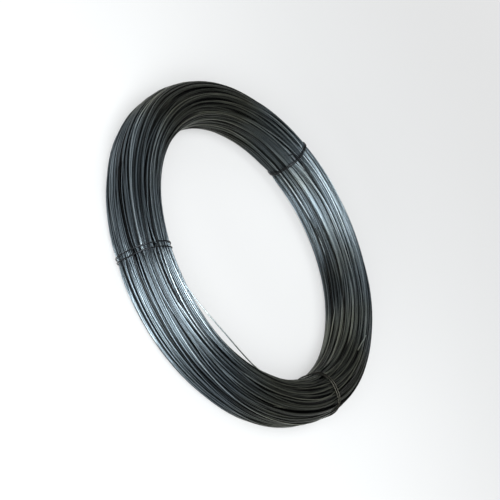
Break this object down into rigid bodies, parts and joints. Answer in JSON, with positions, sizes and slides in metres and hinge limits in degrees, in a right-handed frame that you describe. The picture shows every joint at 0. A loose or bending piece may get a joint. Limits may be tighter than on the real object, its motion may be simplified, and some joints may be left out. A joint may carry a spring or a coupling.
{
  "type": "coil of binding wire",
  "caption": "Flat ring of bare steel binding wire, wound into a thick bundle with an open bore and held by short twisted wire ties.",
  "frame": {"origin": "centre of the ring on the floor that the coil lies flat on", "axes": "+Z along the coil's axis, upwards; +X and +Y lie in the floor, with the camera looking along +Y"},
  "size_m": [0.5, 0.4999, 0.068],
  "materials": {
    "wound_wire": "dark blue-grey bare steel wire with a soft sheen",
    "tie_wire": "the same wire, twisted and a little darker"
  },
  "bodies": {
    "root": {"wire_coil": "wound_wire", "tie_wire_back": "tie_wire", "tie_wire_front": "tie_wire", "tie_wire_right": "tie_wire"}
  },
  "joints": []
}
